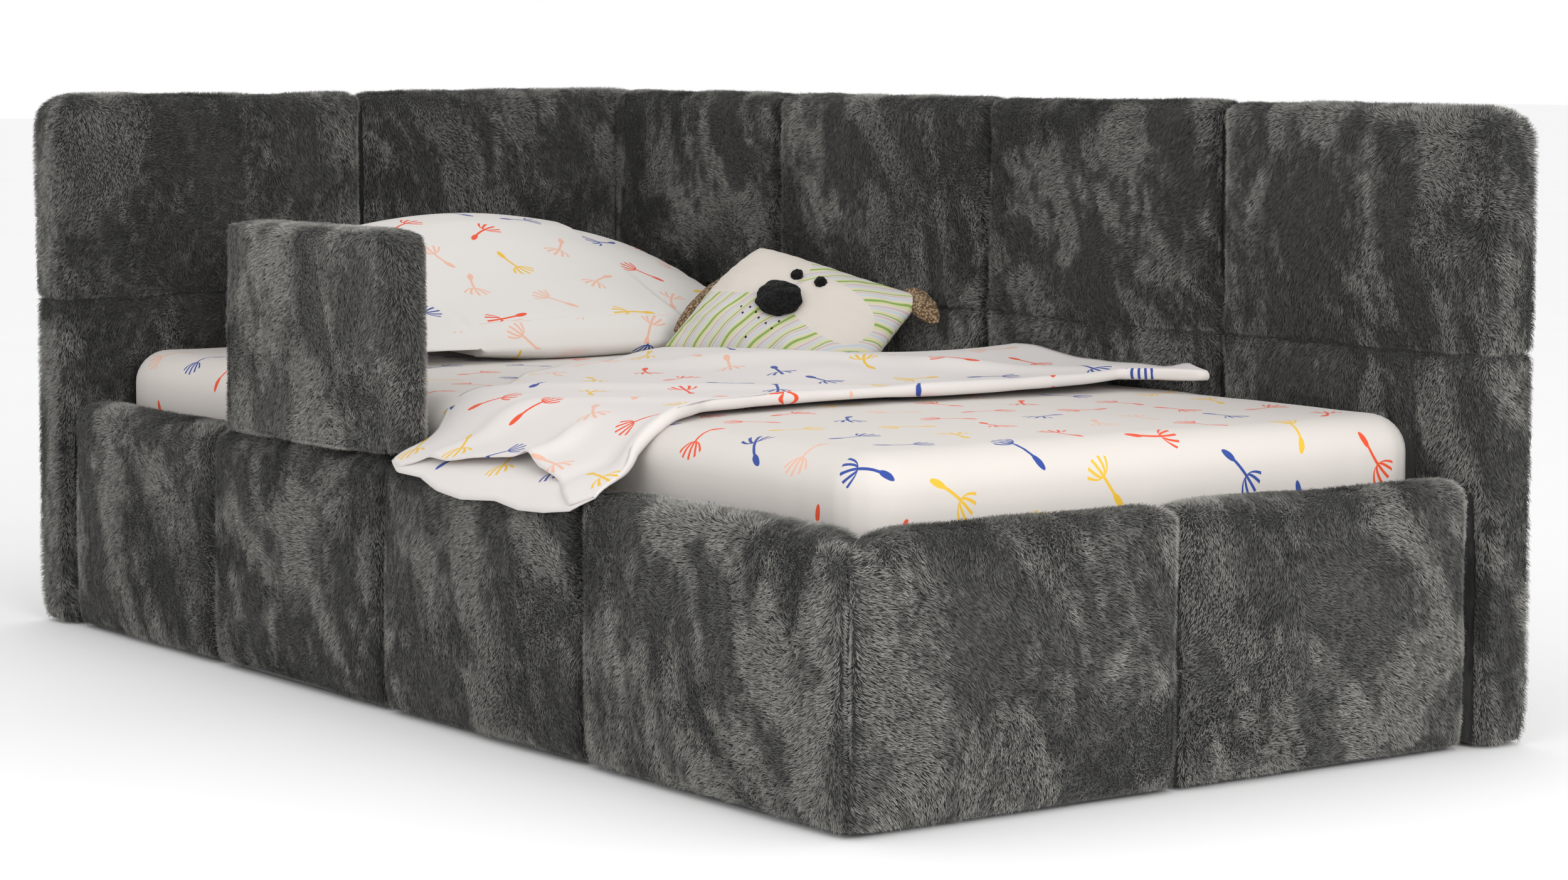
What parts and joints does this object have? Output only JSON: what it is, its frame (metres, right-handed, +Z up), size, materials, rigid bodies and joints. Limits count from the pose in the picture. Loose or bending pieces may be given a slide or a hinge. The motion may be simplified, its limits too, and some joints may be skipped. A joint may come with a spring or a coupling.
{
  "type": "toddler bed",
  "caption": "Corner toddler bed with plush padded head and back walls, low padded rails, lift-off guard, slatted base, mattress, pillow, blanket and toy cushion.",
  "frame": {"origin": "centre of the bed's footprint on the floor", "axes": "+X runs from the head wall to the foot rail along the bed's length, +Y from the front rail to the tall back wall, +Z up"},
  "size_m": [1.77, 0.917, 0.685],
  "materials": {
    "plush": "long-pile dark grey faux fur",
    "lining_cloth": "plain dark lining cloth",
    "plywood": "raw plywood",
    "pine": "planed pine",
    "birch": "bent birch ply slat",
    "zinc_steel": "zinc plated",
    "black_steel": "powder coated black",
    "black_plastic": "moulded",
    "mattress_ticking": "woven ticking over foam",
    "printed_cotton": "off-white cotton with small sprig print",
    "pillowcase_cotton": "off-white cotton with small sprig print",
    "blanket_cotton": "off-white cotton with small sprig print",
    "toy_cloth": "striped and plain cotton",
    "black_knit": "black knitted yarn",
    "brown_knit": "beige-brown knitted yarn"
  },
  "bodies": {
    "bed": {"back_ledger": "pine", "back_lower_pad_1": "plush", "back_lower_pad_2": "plush", "back_lower_pad_3": "plush", "back_lower_pad_4": "plush", "back_upper_pad_1": "plush", "back_upper_pad_2": "plush", "back_upper_pad_3": "plush", "back_upper_pad_4": "plush", "back_wall_board": "plywood", "back_wall_lining": "lining_cloth", "beam_blocks": "pine", "bracket_bolts": "zinc_steel", "centre_beam": "black_steel", "centre_leg_feet": "black_plastic", "centre_legs": "black_steel", "corner_brackets": "zinc_steel", "foot_ledger": "pine", "foot_pad_1": "plush", "foot_pad_2": "plush", "foot_rail_board": "plywood", "front_ledger": "pine", "front_pad_1": "plush", "front_pad_2": "plush", "front_pad_3": "plush", "front_pad_4": "plush", "front_rail_board": "plywood", "glides": "black_plastic", "guard_sockets": "black_steel", "head_ledger": "pine", "head_lower_pad_1": "plush", "head_lower_pad_2": "plush", "head_upper_pad_1": "plush", "head_upper_pad_2": "plush", "head_wall_board": "plywood", "head_wall_lining": "lining_cloth", "slat_screws": "zinc_steel", "slats": "birch"},
    "guard": {"guard_board": "plywood", "guard_pad": "plush", "guard_tongues": "black_steel", "guard_screws": "zinc_steel"},
    "mattress": {"mattress": "mattress_ticking", "fitted_sheet": "printed_cotton"},
    "pillow": {"pillow": "pillowcase_cotton"},
    "blanket": {"blanket": "blanket_cotton"},
    "toy": {"toy_body": "toy_cloth", "toy_nose": "black_knit", "toy_eyes": "black_knit", "toy_ears": "brown_knit"}
  },
  "joints": [
    {"name": "guard_lift", "type": "slide", "parent": "bed", "child": "guard", "axis": [0, 0, 1], "range_m": [0, 0.25]},
    {"name": "mattress_lift", "type": "slide", "parent": "bed", "child": "mattress", "axis": [0, 0, 1], "range_m": [0, 0.4]},
    {"name": "pillow_lift", "type": "slide", "parent": "mattress", "child": "pillow", "axis": [0, 0, 1], "range_m": [0, 0.3]},
    {"name": "blanket_lift", "type": "slide", "parent": "mattress", "child": "blanket", "axis": [0, 0, 1], "range_m": [0, 0.3]},
    {"name": "toy_lift", "type": "slide", "parent": "mattress", "child": "toy", "axis": [0, 0, 1], "range_m": [0, 0.3]}
  ]
}
